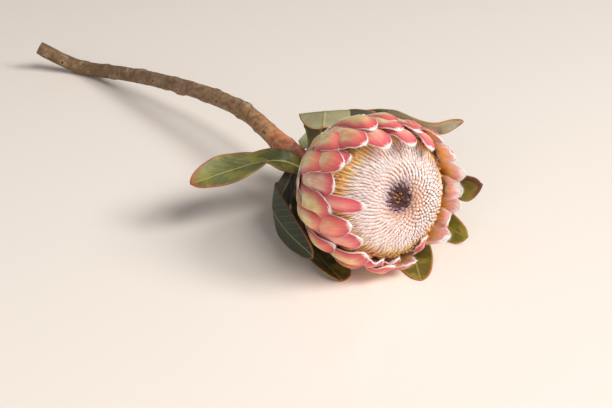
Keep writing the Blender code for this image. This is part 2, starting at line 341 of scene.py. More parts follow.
def sheet_grain(tree, marks, scale, detail=3.0):
    """Noise in a sheet's own marks, so that it follows the sheet's bends."""
    values = [mark_value(tree, mark) if mark else 0.0 for mark in marks]
    place = add_node(tree, "CombineXYZ", enumerate(values))
    stretched = add_node(
        tree, "VectorMath", {0: place.outputs[0], 1: scale}, operation="MULTIPLY"
    )
    return add_node(
        tree, "TexNoise", {"Vector": stretched.outputs[0], "Scale": 1.0, "Detail": detail}
    ).outputs["Fac"]


def new_material(name, **surface):
    """A material and its shader, with whatever is the same all over set on the shader."""
    material = bpy.data.materials.new(name)
    material.use_nodes = True
    shader = material.node_tree.nodes["Principled BSDF"]
    for socket, value in surface.items():
        shader.inputs[socket.replace("_", " ")].default_value = value
    return material, material.node_tree, shader


def finish_material(tree, shader, colour, height=None, depth=0.2, roughness=None):
    """Wires the colour, the bump in millimetres and the roughness into the shader."""
    tree.links.new(colour, shader.inputs["Base Color"])
    if height is not None:
        bump = add_node(tree, "Bump", {"Height": height, "Distance": depth * MM})
        tree.links.new(bump.outputs[0], shader.inputs["Normal"])
    if roughness is not None:
        tree.links.new(roughness, shader.inputs["Roughness"])


print("pale floor is", [round(value, 2) for value in paint("EAE0D7")])

# %% [markdown]
# ## What the bracts are painted with
#
# A fresh bract is salmon pink with a cream or golden middle, deeper pink towards its edges
# and a thin pale rim inside a crimson line. The deeper pink and the crimson line are partly
# the bract's own colour and partly painted shade, where the edges curl away from the light.
# Its inner face is paler at the tip and turns to ochre further down, where it holds the
# florets. The colour follows distances that each bract carries as marks: millimetres to its
# tip and to its nearest edge.

# %% Bract materials
def bract_outside(name, pink, deep_pink_and_edge_shade, gold, cream):
    material, tree, shader = new_material(
        name, Roughness=0.38, Sheen_Weight=0.15, Sheen_Roughness=0.4, Specular_IOR_Level=0.5,
        Subsurface_Weight=0.4, Subsurface_Radius=(1.0, 0.45, 0.3), Subsurface_Scale=0.003,
    )
    tip, edge = mark_value(tree, "tip"), mark_value(tree, "edge")
    cloud = sheet_grain(tree, ("x", "tip", "gold"), (0.16, 0.08, 9.0))
    streaks = sheet_grain(tree, ("x", "tip", "gold"), (1.9, 0.05, 9.0))
    golden = mixed(tree, between(tree, cloud, 0.35, 0.65), gold, cream)
    wide = between(tree, edge, 0.8, 6.5)
    low = between(tree, tip, 3.0, 13.0)
    low = calculate(tree, "MAXIMUM", low, between(tree, mark_value(tree, "gold"), 0.5, 1.0, 0, 0.9))
    mask = calculate(tree, "MULTIPLY", wide, low)
    amount = calculate(tree, "ADD", mark_value(tree, "gold"), cloud)
    mask = calculate(tree, "MULTIPLY", mask, between(tree, amount, 0.3, 1.05))
    # the deeper pink band and the crimson line towards the edges are partly the bract's own colour
    # and partly painted shade where the edges curl away
    skin = coated(
        tree, pink, (mask, golden), (between(tree, edge, 4.2, 0.6, 0.0, 0.8), deep_pink_and_edge_shade),
        (between(tree, edge, 0.9, 0.5, 0.0, 0.6), "A8324A"),
        (between(tree, edge, 0.42, 0.15, 0.0, 0.7), "FBEAE2"),
    )
    shade = between(tree, streaks, 0.3, 0.7, 0.84, 1.08)
    toned = add_node(tree, "VectorMath", {0: skin, "Scale": shade}, operation="SCALE")
    fuzz = sheet_grain(tree, ("x", "tip", "gold"), (1.2, 1.2, 5.0))
    frost = calculate(tree, "SUBTRACT", tip, calculate(tree, "MULTIPLY", fuzz, 4.0))
    woolly = between(tree, frost, 0.3, -1.0, 0.0, 0.9)
    skin = mixed(tree, woolly, toned.outputs[0], "F6E2D8")
    rough = between(tree, woolly, 0.0, 0.6, 0.45, 0.85)
    finish_material(tree, shader, skin, streaks, 0.16, rough)
    return material


def bract_inside(name):
    material, tree, shader = new_material(
        name, Roughness=0.8, Sheen_Weight=0.3, Sheen_Roughness=0.5, Specular_IOR_Level=0.2,
        Subsurface_Weight=1.0, Subsurface_Radius=(1.0, 0.65, 0.55), Subsurface_Scale=0.006,
    )
    tip = mark_value(tree, "tip")
    streaks = sheet_grain(tree, ("x", "tip", "gold"), (1.5, 0.09, 9.0))
    depth = calculate(tree, "DIVIDE", tip, 36.0)
    down = calculate(tree, "ADD", depth, calculate(tree, "MULTIPLY", streaks, 0.08))
    skin = ramp(tree, down, (
        (0.0, "FFFCFA"), (0.14, "FFE9E6"), (0.27, "FBB9BC"), (0.4, "F8B4A8"), (0.52, "F8BE86"),
        (0.66, "F6AE5C"), (0.9, "E4963C"),
    ))
    skin = mixed(
        tree, between(tree, streaks, 0.5, 0.66, 0.0, 0.5), skin, "F0748C", "MULTIPLY"
    )
    finish_material(tree, shader, skin, streaks, 0.25)
    return material


def plain_hair(name, first, second):
    material, tree, shader = new_material(
        name, Roughness=0.75, Sheen_Weight=0.3, Specular_IOR_Level=0.25
    )
    finish_material(tree, shader, mixed(tree, grain(tree, 900), first, second))
    return material


def patchy(name, first, second, patches, bumps, depth, **surface):
    """Two colours in soft patches, with a grain; patches and bumps are sizes of noise."""
    material, tree, shader = new_material(name, **surface)
    share = between(tree, grain(tree, *patches), 0.35, 0.65)
    finish_material(tree, shader, mixed(tree, share, first, second), grain(tree, bumps), depth)
    return material


# the third colour of each skin is the deeper edge pink, partly painted shade where the edges curl
# away
pink_skin = bract_outside("inner_bract_skin", "F49C90", "D2465C", "F6BA86", "FCE0C0")
peach_skin = bract_outside("outer_bract_skin", "F0927C", "C84450", "F3B662", "FBE2AC")
brown_skin = bract_outside("lower_scale_skin", "C08058", "863C2E", "BE8A4A", "D2A868")
bract_lining = bract_inside("bract_lining")
white_wool = plain_hair("white_wool", "FFF8F2", "F1DCD2")
silver_wool = plain_hair("silver_wool", "D6D3D4", "A9A5AA")
print("bract materials:", pink_skin.name, peach_skin.name, brown_skin.name, bract_lining.name)

# %% [markdown]
# ## The bracts
#
# Each bract is a spoon: it hugs the head below, swells outwards in the middle and curls in
# at a blunt, rounded tip. A grid bent into that shape keeps its rows close together near
# the tip, where the outline turns quickly. No two bracts on a real head are alike, so a
# table says which ones grew narrow, long or crooked, and seeded chance varies the rest.

# %% How each bract grew
# By ring, in millimetres: a bract's width, how far its middle swells out, and how far the
# ring lifts off the head towards the tips. A ring's bracts without a note of their own end a
# little before and inside their CAD piece.
FULL_WIDTH = {"lower_scale": 15, "middle_bract": 18.5, "outer_bract": 19, "inner_bract": 17.5}
SWELL = {"lower_scale": 0.8, "middle_bract": 3.2, "outer_bract": 3.4, "inner_bract": 3.0}
LIFT = {"lower_scale": 1.6, "middle_bract": 3.2, "outer_bract": 1.8, "inner_bract": 0.0}
BRACT_NOTES = {  # by number: azimuth in degrees, tip's height and radius, width, how golden
    "lower_scale": {},
    "middle_bract": {
        1: (349, 95, 47, 17.5, 0.9), 9: (212, 83, 46, 17.5, 0.7), 10: (240, 82, 48, 17.5, 0.6),
        11: (262, 88, 47, 16, 0.5), 12: (305, 81, 47, 17.5, 0.6), 13: (323, 86, 46, 18.5, 0.4),
    },
    "outer_bract": {
        1: (9, 98, 42.5, 18, 0.4), 2: (28, 98, 43, 17, 0.6), 3: (50, 99, 47, 17, 0.9),
        4: (85, 102, 50, 15, 0.2), 5: (111, 97, 50, 16, 0.3), 6: (137, 98, 50, 18.5, 0.2),
        7: (174, 98, 46, 18.5, 0.4), 8: (194, 97, 45, 17.5, 0.6), 9: (224, 100, 42, 20.5, 1.0),
        10: (260, 107, 41, 17.5, 0.0), 11: (273, 95, 46.5, 20, 1.0),
        12: (309, 98, 45.5, 16, 0.1), 13: (332, 103, 45, 18.5, 0.2),
    },
    "inner_bract": {
        1: (347, 108, 36, 17, 0.1), 2: (14, 109, 34, 16, 0.0), 3: (40, 106, 36, 13.5, 0.3),
        4: (64, 106, 45, 17.5, 0.1), 5: (98, 101, 48, 16.5, 0.1), 6: (125, 100, 42, 15, 0.1),
        7: (155, 101, 33, 12, 0.0), 8: (185, 93, 42, 15, 0.0), 9: (208, 100, 42, 15, 0.1),
        10: (245, 109, 39, 15, 0.0), 11: (278, 115, 34, 9, 0.0), 12: (291, 95, 46, 18.5, 0.2),
        13: (316, 98, 44, 8.5, 0.0),
    },
}
ENDS_BEFORE, ENDS_INSIDE = 3, 1.5
chance = np.random.default_rng(7)
bract_growth = {}
for node, (azimuth, start, end) in bract_places.items():
    ring = node[:-3]
    drift, stretch, breadth, gilding, bend = chance.normal(size=5)
    end -= ENDS_BEFORE
    grown = (
        azimuth + 1.5 * drift, end + 1.5 * stretch,
        ring_radius(ring, end) - ENDS_INSIDE + 0.6 * bend,
        FULL_WIDTH[ring] * (1 + 0.04 * breadth), 0.45 + 0.2 * gilding,
    )
    bract_growth[node] = (start, *BRACT_NOTES[ring].get(int(node[-2:]), grown))
print(len(bract_growth), "bracts,", sum(map(len, BRACT_NOTES.values())), "of them with notes")

# %% Shape one bract
ROUND_END = 1.1  # the length of the rounded end beside the full width
NARROW, NARROW_END = 12, 1.3  # a bract no wider than this has a longer end
TIP_CURL_FROM = 10  # millimetres down from the tip
TIP_FLARE_FROM = 18
BRACTS_IN_RING = 13
CROWDING = 1.04  # low down, bracts fill their share of the ring and a little more
LEAST_HALF_WIDTH = 4
SWELLS = (20, 50)  # heights between which a bract's swelling sets in
LIFTS = (40, 80)  # and those between which its ring lifts off the head
UNEVEN_AT = (0, 15, 35, 60, 85, 340, 360)  # the head isn't quite round: azimuths
UNEVEN_BY = (-3.0, -3.8, -2.0, 2.0, 0.5, 0, -3.0)  # and millimetres there
BRACT_WALL = 0.9
LOWEST_BRACT = 0.6  # half a bract's wall above the floor, and a little more
PUCKER = 1.0  # how far a tip is puckered
DEEP_PUCKER = 3.8
WOOL_RADIUS = 0.075
WOOL_HAIRS, WOOL_REACH = 220, 2.1
SCALE_HAIRS, SCALE_WOOL_REACH = 60, 2.6
BRACT_MARKS = ("x", "tip", "edge", "gold")
CRUMPLED = ("inner_bract_04", "inner_bract_05", "inner_bract_06", "inner_bract_07",
            "inner_bract_08", "inner_bract_09", "outer_bract_06", "outer_bract_07")


def bract_surface(ring, azimuth, end, tip_radius, width, seed, pucker_depth):
    """Gives where a bract's point lies, x mm sideways and t mm down from the tip."""
    round_end = width * (ROUND_END if width > NARROW else NARROW_END)
    uneven = float(np.interp(azimuth, UNEVEN_AT, UNEVEN_BY))

    def radius_at(height):
        return ring_radius(ring, height) + (LIFT[ring] + uneven) * share_of(height, *LIFTS)

    curl = radius_at(end) + SWELL[ring] - tip_radius
    bends_from = TIP_CURL_FROM + max(curl - 5, 0) * 1.3 if curl > 0 else TIP_FLARE_FROM

    def half_width(t):
        ending = math.sqrt(1 - (1 - min(t / round_end, 1)) ** 2)
        room = math.pi * max(radius_at(end - t), 8) / BRACTS_IN_RING * CROWDING
        return min(width / 2, max(room, LEAST_HALF_WIDTH)) * ending

    def surface(x, t):
        height = end - t
        beside = x / (width / 2)
        swell = SWELL[ring] * (1 - beside ** 2) * share_of(height, *SWELLS)
        roll = max(0, 1 - t / bends_from) ** 2
        wave = noise.noise(Vector((x * 0.13, t * 0.09, seed)))
        flute = noise.noise(Vector((x * 0.5, t * 0.03, seed + 5)))
        pucker = noise.noise(Vector((x * 0.22, t * 0.13, seed + 9))) * max(0, 1 - t / 24)
        radius = radius_at(height) + swell + 0.9 * wave + 0.25 * flute - curl * roll
        radius += pucker_depth * pucker
        angle = math.radians(azimuth) + x / max(radius, 10) + 0.02 * wave
        height -= 0.5 * beside ** 2 * roll
        return Vector((radius * math.sin(angle), radius * math.cos(angle), height))

    def edge_distance(x, t):
        if t > round_end:
            return half_width(t) - abs(x)
        return (1 - math.hypot(x / (width / 2), 1 - t / round_end)) * width / 2

    return surface, half_width, edge_distance, round_end


FRINGE_TURN = 1.45  # how far round the end the wool goes, in radians from the tip


def fringe(surface, width, round_end, count, reach, rng):
    """Roots, directions and lengths of the wool round a bract's tip."""
    turn = rng.uniform(-FRINGE_TURN, FRINGE_TURN, count)
    inset = rng.uniform(0.93, 1.0, count)
    x = width / 2 * np.sin(turn) * inset
    t = round_end * (1 - np.cos(turn) * inset)
    roots = np.array([surface(*place) for place in zip(x, t)])
    inside = np.array([surface(*place) for place in zip(x * 0.8, t + 1 + (round_end - t) * 0.1)])
    directions = roots - inside
    directions /= np.linalg.norm(directions, axis=1)[:, None]
    directions += rng.normal(0, 0.22, (count, 3))
    lengths = reach * (0.35 + 0.65 * np.cos(turn) ** 2) * rng.uniform(0.6, 1.25, count)
    return roots, directions, lengths


def add_wool(item, roots, directions, lengths):
    """Adds hairs, given in the head's frame, in the piece's third material."""
    turned = [moved(block, HEAD) for block in hairs(roots, directions, lengths, WOOL_RADIUS)]
    for block in turned:
        block[:, 2] = np.abs(block[:, 2])  # a hair that meets the floor turns up
    add_blocks(item, turned, SPIKE_FACES, {}, 2)


def make_bract(node, growth, materials, hair_count, hair_reach, columns=10, rows=18):
    """A bract with its outside, lining and wool materials, and this much wool."""
    start, azimuth, end, tip_radius, width, gold = growth
    seed = sum(map(ord, node)) * 0.37
    surface, half_width, edge_distance, round_end = bract_surface(
        node[:-3], azimuth, end, tip_radius, width, seed,
        DEEP_PUCKER if node in CRUMPLED else PUCKER,
    )

    def place(across, up):
        t = (end - start) * (1 - up) ** 1.7
        x = -half_width(t) * across
        point = HEAD @ surface(x, t)
        point.z = max(point.z, LOWEST_BRACT)
        return point, (x, t, edge_distance(x, t), gold)

    sheet = merged(bent_grid(columns, rows, place, BRACT_MARKS))
    item = walled(make_object(node + "_grown", sheet, materials), BRACT_WALL)
    rng = np.random.default_rng(int(seed * 100))
    add_wool(item, *fringe(surface, width, round_end, hair_count, hair_reach, rng))
    return item


# %% Grow the three rings of pink bracts
def settle(item, slot, *replaced):
    """Says which body the piece rides on and the CAD it stands for; slot is not used."""
    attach(item, "root")
    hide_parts(*replaced)


RING_LOOKS = {  # outside, wool, slot
    "middle_bract": (peach_skin, silver_wool, "outer_peach"),
    "outer_bract": (peach_skin, white_wool, "outer_peach"),
    "inner_bract": (pink_skin, white_wool, "inner_pink"),
}
for node, growth in bract_growth.items():
    if node[:-3] not in RING_LOOKS:
        continue
    skin, wool, slot = RING_LOOKS[node[:-3]]
    item = make_bract(node, growth, (skin, bract_lining, wool), WOOL_HAIRS, WOOL_REACH)
    settle(item, slot, node)
print("a bract has", len(item.data.polygons), "faces with its wool")

# %% [markdown]
# ## The small scales under the bracts
#
# Below the pink bracts come shorter, browner and narrower scales. One CAD scale stands for
# three of them, so three grow in its place, one tip above the other, with silvery silk on
# the tips. They are the same spoon as a bract, only smaller.

# %% Grow the lower scales
def join_into(first, others):
    """Adds other objects' meshes to the first one, which wears the same materials."""
    together = bmesh.new()
    for item in (first, *others):
        together.from_mesh(item.data)
    together.to_mesh(first.data)
    together.free()
    for item in others:
        mesh = item.data
        bpy.data.objects.remove(item)
        bpy.data.meshes.remove(mesh)
    return first


TRIO = ((0, 0, 1), (-14, 13, 0.95), (13, -9, 0.9))  # turn, lift and width of each of three
for node in [name for name in bract_growth if name.startswith("lower_scale")]:
    start, azimuth, end, _, width, _ = bract_growth[node]
    trio = []
    for turn, lift, narrower in TRIO:
        tip_radius = ring_radius("lower_scale", end + lift) + 1.2
        growth = (start, azimuth + turn, end + lift, tip_radius, width * narrower, 0.5)
        looks = (brown_skin, bract_lining, silver_wool)
        trio.append(make_bract(node, growth, looks, SCALE_HAIRS, SCALE_WOOL_REACH, 8, 12))
    settle(join_into(trio[0], trio[1:]), "scale_brown", node)
print("lower scales: 9 places with", len(trio), "scales each")

# %% [markdown]
# ## The core
#
# The woody core shows only from below and behind, where the smallest scales overlap round
# the neck like tiles. The core is the CAD outline spun about the axis, and one small scale
# is stamped round it in the spiral that plants use, turning 137.5 degrees each time.

# %% Spin a solid and tile it with scales
GOLDEN_TURN = math.radians(137.508)


def spun(outline, steps):
    """Spins (radius, height) points about the head's axis into a closed solid."""
    solid = bmesh.new()
    points = [solid.verts.new((radius, 0, height)) for radius, height in outline]
    edges = [solid.edges.new(pair) for pair in zip(points, points[1:])]
    bmesh.ops.spin(
        solid, geom=points + edges, cent=(0, 0, 0), axis=(0, 0, 1),
        angle=math.tau, steps=steps, use_merge=True,
    )
    closed(solid)
    bmesh.ops.transform(solid, matrix=HEAD, verts=solid.verts)
    return solid


def cad_outline(node):
    """A turned CAD piece's (radius, height) corners, as measured."""
    _, radius, height = in_head(node)
    corners = {(round(r, 1), round(h, 1)) for r, h in zip(radius, height)}
    return sorted(corners)


def small_scale(length, width):
    """A tiny spoon shaped scale that leans against the core, base at the origin."""
    def place(across, up):
        half = width / 2 * math.sin(min(0.35 + up, 1) * math.pi * 0.5) * (1 - up ** 3 * 0.85)
        return (half * across, 0.12 * length * up ** 2 + 0.5 - 0.5 * across ** 2, length * up), ()

    sheet = bent_grid(4, 5, place)
    bmesh.ops.solidify(sheet, geom=sheet.faces[:], thickness=0.35)
    return template_of(sheet)


core_material = patchy(
    "core_skin", "7A5330", "A9814A", (260, 5), 900, 0.3, Roughness=0.7, Sheen_Weight=0.2
)
core_outline = [corner for corner in cad_outline("receptacle") if corner[0] > 0.5]
core_outline.sort(key=lambda corner: corner[1])
outer = [(radius - 0.4, height) for radius, height in core_outline]
print("the core's outline has", len(outer), "corners")
core_solid = spun([(0, outer[0][1]), *outer, (0, outer[-1][1])], 48)
core_piece = make_object("receptacle_grown", core_solid, (core_material, brown_skin, silver_wool))
SMALL_SCALES = 64
SMALL_LENGTH, SMALL_WIDTH = 9, 7
SMALL_GOLD = 0.4
TAPERS_BELOW = 5  # near the neck, the core draws in
scale_points, scale_faces = small_scale(SMALL_LENGTH, SMALL_WIDTH)
blocks = []
for number in range(SMALL_SCALES):
    share = number / SMALL_SCALES
    height = 1 + 15 * share
    radius = ring_radius("lower_scale", max(height, TAPERS_BELOW)) + 0.3
    if height < TAPERS_BELOW:
        radius -= (TAPERS_BELOW - height) * 0.9
    spin = Matrix.Rotation(-number * GOLDEN_TURN, 4, "Z") @ Matrix.Translation((0, radius, height))
    lean = Matrix.Rotation(math.radians(-38 + 10 * share), 4, "X")
    blocks.append(moved(scale_points, HEAD @ spin @ lean))
scale_marks = {
    "x": scale_points[:, 0], "tip": 7 * (1 - (scale_points[:, 2] / SMALL_LENGTH)),
    "edge": 2.5 - np.abs(scale_points[:, 0]), "gold": SMALL_GOLD,
}
marks = {mark: [values] * SMALL_SCALES for mark, values in scale_marks.items()}
add_blocks(core_piece, blocks, scale_faces, marks, 1)
settle(core_piece, "receptacle_green", "receptacle")

# %% [markdown]
# ## The florets
#
# The middle of the head is hundreds of thin florets, set in the same golden spiral, with
# shorter ones round them down in the trough. They grow from a bed that closes the gaps.
# Each one leans in over its neighbours, so from one side they look like combed threads and
# from the other like beads. One small tube is made once and bent anew for each floret. The
# youngest, in the middle, are thin and dark.

# %% What the florets are painted with
floret_skin, tree, shader = new_material(
    "floret_skin", Roughness=0.85, Sheen_Weight=0.5, Sheen_Roughness=0.5,
    Specular_IOR_Level=0.15, Subsurface_Weight=0.8, Subsurface_Radius=(1.0, 0.7, 0.55),
    Subsurface_Scale=0.004,
)
along, reach, tint = (mark_value(tree, mark) for mark in ("along", "reach", "tint"))
along = calculate(tree, "SUBTRACT", along, between(tree, reach, 0.55, 1.0, 0.0, 0.12))
pale = ramp(tree, along, (
    (0.0, "DEA24C"), (0.45, "F2BA6C"), (0.58, "F4C498"), (0.7, "F6D0BE"), (0.8, "F7DAD0"),
    (1.0, "F9E2DA"),
))
rosy = ramp(tree, along, (
    (0.0, "DEA24C"), (0.45, "EEB464"), (0.6, "EEB692"), (0.74, "F0C4B8"), (1.0, "F5D2CA"),
))
dark = ramp(tree, along, (
    (0.0, "8A5A3C"), (0.5, "9A6E5C"), (0.75, "7A5058"), (0.9, "4E2E38"), (1.0, "38202A"),
))
lilac = ramp(tree, along, (
    (0.0, "C08A54"), (0.55, "D8AE9C"), (0.8, "DEC2C4"), (1.0, "BC9CA6"),
))
spread = calculate(tree, "ADD", reach, calculate(tree, "MULTIPLY", tint, 0.12))
body = coated(
    tree, pale, (between(tree, tint, 0.2, 0.8), rosy),
    (between(tree, spread, 0.52, 0.32), lilac), (between(tree, spread, 0.31, 0.22), dark),
    (between(tree, reach, 0.11, 0.08, 0.0, 0.85), "A8702C"),
)
finish_material(tree, shader, body, grain(tree, 1500, 2), 0.2)

floret_bed = patchy(
    "floret_bed", "E2A04E", "F8C684", (420, 4), 700, 1.0, Roughness=0.9, Sheen_Weight=0.3,
    Specular_IOR_Level=0.15,
)
heart_bed = patchy(
    "heart_bed", "4A2C2C", "7A5048", (420, 4), 700, 1.0, Roughness=0.9,
    Specular_IOR_Level=0.1,
)
floret_wool = plain_hair("floret_wool", "FFF1EA", "EFD3C8")
dark_wool = plain_hair("dark_wool", "56302E", "7C5048")

# %% Bend the florets
FLORETS = 700
SHORT_FLORETS = 560  # in the trough between the others and the bracts
FLORET_REACH = 34.5  # the furthest tip from the axis
FURTHEST_ROOT = 41.8
TROUGH = (34.5, 43)  # radii
FLORET_DEPTH = 24.0
PIT_FILL = 0.5
YOUNG_WITHIN = 7  # millimetres from the axis
OUTERMOST_FROM = 24  # further out, florets get thinner
RIPE_FROM = 29  # further out, their colours end early
HEART_RADIUS = 8.0  # of the dark middle of the bed
CROWN_FROM, BED_SIDE_TO, BED_TOP_FROM = 89, 84, 80  # heights on the CAD outline
FLORETS_BED_DROP, HEART_BED_DROP = 2.0, 3.0  # how far the bed lies below the tips
outline = cad_outline("floret_mass")
crown = sorted(corner for corner in outline if corner[1] > CROWN_FROM)
crown_radii, crown_heights = zip(*crown)


def dome(radius):
    """How high the florets stand at this distance from the axis."""
    return np.interp(radius, crown_radii, crown_heights)


tube = bmesh.new()
bmesh.ops.create_cone(
    tube, cap_ends=True, segments=5, radius1=1, radius2=1, depth=1,
    matrix=Matrix.Translation((0, 0, 0.5)),
)
upright = [edge for edge in tube.edges if abs(edge.verts[0].co.z - edge.verts[1].co.z) > 0.5]
bmesh.ops.subdivide_edges(tube, edges=upright, cuts=7, use_grid_fill=True)
TUBE_POINTS, TUBE_FACES = template_of(tube)
tube_along = TUBE_POINTS[:, 2]
tube_side, tube_front = TUBE_POINTS[:, 0], TUBE_POINTS[:, 1]
tube_width = np.interp(
    tube_along, (0, 0.3, 0.6, 0.85, 0.95, 1), (0.55, 0.7, 0.95, 1.0, 0.85, 0.3)
)


def bent_floret(angle, root, control, tip, thickness, swirl):
    """The tube bent along a curve in the plane through the axis at this angle."""
    t = tube_along[:, None]
    curve = root * (1 - t) ** 2 + 2 * control * t * (1 - t) + tip * t ** 2
    heading = 2 * (control - root) * (1 - t) + 2 * (tip - control) * t
    heading /= np.linalg.norm(heading, axis=1)[:, None]
    across = np.stack([-heading[:, 1], heading[:, 0]], axis=1)
    width = (tube_width * thickness)[:, None]
    flat = curve + across * tube_front[:, None] * width
    turn = angle + swirl * tube_along ** 2
    outward = np.stack([np.sin(turn), np.cos(turn)], axis=1)
    beside = np.stack([np.cos(turn), -np.sin(turn)], axis=1)
    ground = outward * flat[:, :1] + beside * tube_side[:, None] * width
    return np.column_stack([ground, flat[:, 1]])


rng = np.random.default_rng(11)
blocks = []
marks = {"along": [], "reach": [], "tint": []}
tips, tip_directions = [], []
for number in range(FLORETS + SHORT_FLORETS):
    angle = number * GOLDEN_TURN
    short = number >= FLORETS
    if short:
        radius = rng.uniform(*TROUGH)
        root, top = radius + 0.5, dome(35) - 0.5 - 0.9 * (radius - 35) - rng.uniform(0, 3)
    else:
        radius = FLORET_REACH * math.sqrt((number + 0.5) / FLORETS)
        lean = 2.0 + 7.0 * radius / FLORET_REACH
        filled = PIT_FILL * math.exp(-((radius / 9) ** 2))
        root = min(radius + lean, FURTHEST_ROOT)
        top = dome(radius) + filled + rng.uniform(-0.4, 0.4)
    young = radius < YOUNG_WITHIN
    outermost = max(0, (radius - OUTERMOST_FROM) / (FLORET_REACH - OUTERMOST_FROM))
    full = 1.12 - 0.3 * outermost
    thickness = (0.85 if young else 0.75 if short else full) * rng.uniform(0.92, 1.08)
    base = np.array([root, top - FLORET_DEPTH])
    control = np.array([root + 0.5, top - 6.5])
    tip = np.array([radius + rng.uniform(-0.2, 0.2), top])
    block = bent_floret(angle, base, control, tip, thickness, rng.normal(0.01, 0.008))
    blocks.append(block)
    ripe = 1 - rng.uniform(0, 0.45) * max(0, (radius - RIPE_FROM) / (FLORET_REACH - RIPE_FROM))
    marks["along"].append(tube_along * (rng.uniform(0.5, 0.62) if short else ripe))
    marks["reach"].append(radius / FLORET_REACH)
    marks["tint"].append(rng.uniform())
    ends, before = block[tube_along > 0.999], block[np.abs(tube_along - 0.875) < 0.01]
    tips.append(ends.mean(axis=0))
    tip_directions.append(ends.mean(axis=0) - before.mean(axis=0))

bed_side = [corner for corner in outline if corner[1] <= BED_SIDE_TO and corner[0] > 1]
bed_side.sort(key=lambda corner: corner[1])
bed = [(0, bed_side[0][1])] + [(radius - 0.3, height) for radius, height in bed_side]
bed += [(radius, dome(radius) - FLORETS_BED_DROP) for radius in (38, 34, 30, 27)]
bed += [(radius, dome(radius) - HEART_BED_DROP) for radius in (22, 16, 10, 5, 0)]
FLORET_PAINTS = (floret_skin, floret_bed, floret_wool, heart_bed, dark_wool)
SKIN, BED, WOOL, HEART, DARK_WOOL = range(5)  # where each is in that list
florets = make_object("floret_mass_grown", spun(bed, 64), FLORET_PAINTS)
for face in florets.data.polygons:
    x, y, height = TO_HEAD @ (face.center / MM)
    in_heart = math.hypot(x, y) < HEART_RADIUS and height > BED_TOP_FROM
    face.material_index = HEART if in_heart else BED
add_blocks(florets, [moved(block, HEAD) for block in blocks], TUBE_FACES, marks, SKIN)
print("florets:", len(blocks), "of", len(TUBE_FACES), "faces each")

# %% Give the florets their down
PALE_DOWN = dict(hairs_each=16, back=3.5, scatter=0.35, splay=0.3, upward=0.25,
                 lengths=(0.9, 1.9), thickness=0.07)
DARK_DOWN = dict(hairs_each=5, back=None, scatter=0.4, splay=0.45, upward=0.3,
                 lengths=(1.2, 3.4), thickness=0.14)
tips, tip_directions = np.array(tips[:FLORETS]), np.array(tip_directions[:FLORETS])
tip_directions /= np.linalg.norm(tip_directions, axis=1)[:, None]
away = np.hypot(tips[:, 0], tips[:, 1])


def add_down(wearers, slot, hairs_each, back, scatter, splay, upward, lengths, thickness):
    """Hairs round the tips of these florets, and up to back millimetres below them."""
    chosen = np.repeat(np.flatnonzero(wearers), hairs_each)
    roots = tips[chosen]
    if back:
        roots = roots - tip_directions[chosen] * rng.uniform(0, back, len(chosen))[:, None]
    roots = roots + rng.normal(0, scatter, (len(chosen), 3))
    spread = tip_directions[chosen] + rng.normal(0, splay, (len(chosen), 3))
    spread[:, 2] = np.abs(spread[:, 2]) + upward
    down = hairs(roots, spread, rng.uniform(*lengths, len(chosen)), thickness)
    add_blocks(florets, [moved(block, HEAD) for block in down], SPIKE_FACES, {}, slot)


add_down(away > 9, WOOL, **PALE_DOWN)
add_down((away <= 10.5) & (away > 3), DARK_WOOL, **DARK_DOWN)
settle(florets, "floret_pink", "floret_mass")
print("floret mass:", len(florets.data.polygons), "faces")

# %% [markdown]
# ## Routes that the stem and leaves follow
#
# The stem and each leaf are swept along a smooth line through a few points, in millimetres.
# They are the points that the CAD model was made from, so a finer piece made along them
# lands where its CAD piece is. Only the right leaf and the upper right leaf have points a
# few millimetres away, and the right leaf is folded less. All are written with the neck at
# (2, 0, 30.88) and moved to wherever the neck is now.

# %% Smooth lines
SHIFT = neck - Vector((2, 0, 30.88))
STEM_ROUTE = (
    ((1, 18, 28.5), 7.4), ((-1.5, 36, 32.5), 7.0), ((-3, 74, 34), 6.8), ((-3, 112, 35), 6.5),
    ((-9, 153, 33.5), 6.4), ((-20, 200, 28.5), 6.2), ((-36, 261, 19), 6.0),
    ((-52, 310, 9.5), 6.0), ((-63, 333, 6.1), 6.0), ((-77, 349, 11), 6.0),
    ((-94, 362, 22), 5.8),
)
NECK_LENGTH = 6
NECK_RADIUS = 8.5


def smooth_point(points, position):
    """A point on the smooth curve through points, where position counts points."""
    index = min(int(position), len(points) - 2)
    part = position - index
    before = points[max(index - 1, 0)]
    start, end = points[index], points[index + 1]
    after = points[min(index + 2, len(points) - 1)]
    straight = 2 * start + (end - before) * part
    bend = (2 * before - 5 * start + 4 * end - after) * part ** 2
    return (straight + bend + (3 * start - before - 3 * end + after) * part ** 3) / 2


LINE_STARTS = 0.35  # behind the neck, inside the core
PIECES = 12  # in the line between two points of the route
stem_points = [neck - axis * NECK_LENGTH]
stem_points += [Vector(point) + SHIFT for point, _ in STEM_ROUTE]
stem_radii = [NECK_RADIUS] + [radius for _, radius in STEM_ROUTE]
line = [neck - axis * LINE_STARTS]
radii = [NECK_RADIUS]
for step in range((len(stem_points) - 1) * PIECES + 1):
    position = step / PIECES
    line.append(smooth_point(stem_points, position))
    radii.append(float(np.interp(position, range(len(stem_radii)), stem_radii)))
line_at = [0.0]
for start, end in zip(line, line[1:]):
    line_at.append(line_at[-1] + (end - start).length)
STEM_LENGTH = line_at[-1]


def stem_at(distance):
    """Centre, radius and direction at a distance behind the neck."""
    index = min(max(int(np.searchsorted(line_at, distance)) - 1, 0), len(line) - 2)
    span = line_at[index + 1] - line_at[index]
    share = (distance - line_at[index]) / span
    direction = (line[min(index + 2, len(line) - 1)] - line[max(index - 1, 0)]).normalized()
    centre = line[index].lerp(line[index + 1], share)
    return centre, radii[index] * (1 - share) + radii[index + 1] * share, direction


def bark_point(along, around):
    """A point on the smooth bark and the outward direction there."""
    centre, radius, direction = stem_at(along)
    angle = math.radians(around)
    outward = Vector((math.sin(angle), 0, math.cos(angle)))
    outward = (outward - direction * outward.dot(direction)).normalized()
    return centre + outward * radius, outward


print("stem length", round(STEM_LENGTH, 1), "mm")

